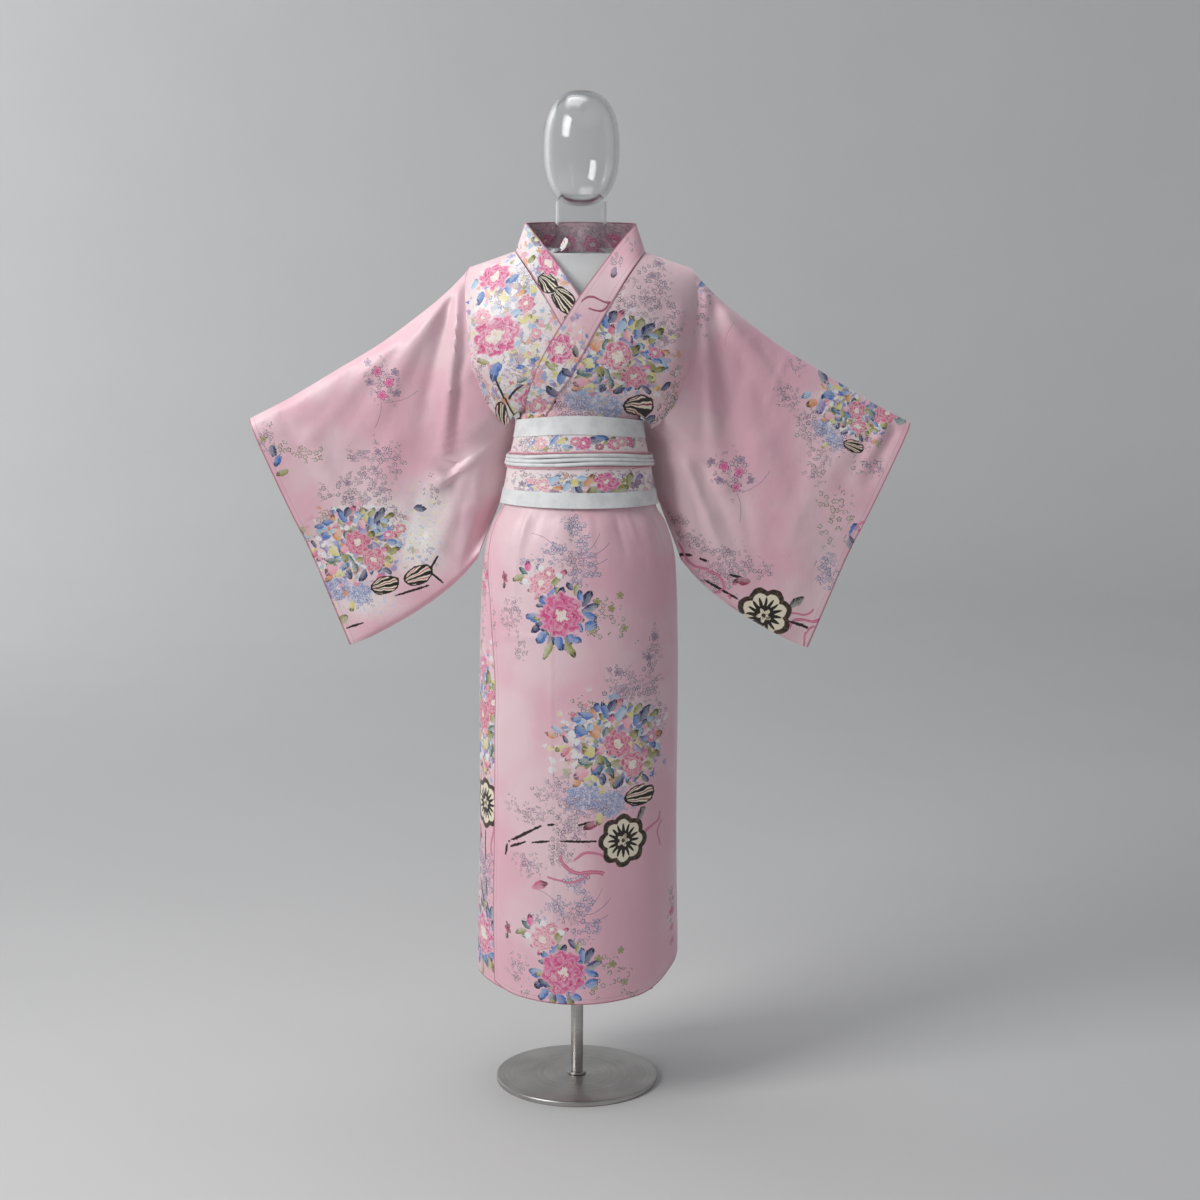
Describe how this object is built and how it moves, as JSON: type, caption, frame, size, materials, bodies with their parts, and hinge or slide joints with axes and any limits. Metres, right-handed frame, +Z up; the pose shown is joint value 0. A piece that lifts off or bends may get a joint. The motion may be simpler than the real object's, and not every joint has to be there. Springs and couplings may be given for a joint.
{
  "type": "kimono on a limbless dress form",
  "caption": "Long-sleeved wrapped robe with a flowered print and a waist sash, filled out on a clear limbless dress form that stands on a round base.",
  "frame": {"origin": "centre of the underside of the stand's round base", "axes": "+Z up, -Y to the garment's front, +X to the wearer's left side (the viewer's right)"},
  "size_m": [1.1814, 0.3347, 1.8115],
  "materials": {
    "kimono_satin": "pink satin with a flower print",
    "obi_satin": "pale satin with a flower print",
    "white_satin": "plain white satin",
    "pink_piping": "rose satin cord",
    "clear_form": "clear moulded plastic",
    "steel": "brushed"
  },
  "bodies": {
    "root": {"body_left": "kimono_satin", "body_right": "kimono_satin", "okumi_left": "kimono_satin", "okumi_right": "kimono_satin", "collar": "kimono_satin", "sleeve_left": "kimono_satin", "sleeve_right": "kimono_satin", "obi_band": "obi_satin", "obi_trim_top": "white_satin", "obi_trim_bottom": "white_satin", "waist_cord_1": "white_satin", "waist_cord_2": "white_satin", "waist_cord_3": "white_satin", "piping_upper": "pink_piping", "piping_lower": "pink_piping", "form_head": "clear_form", "form_torso": "clear_form", "pole_plug": "steel", "pole": "steel", "pole_foot": "steel", "base": "steel"}
  },
  "joints": []
}
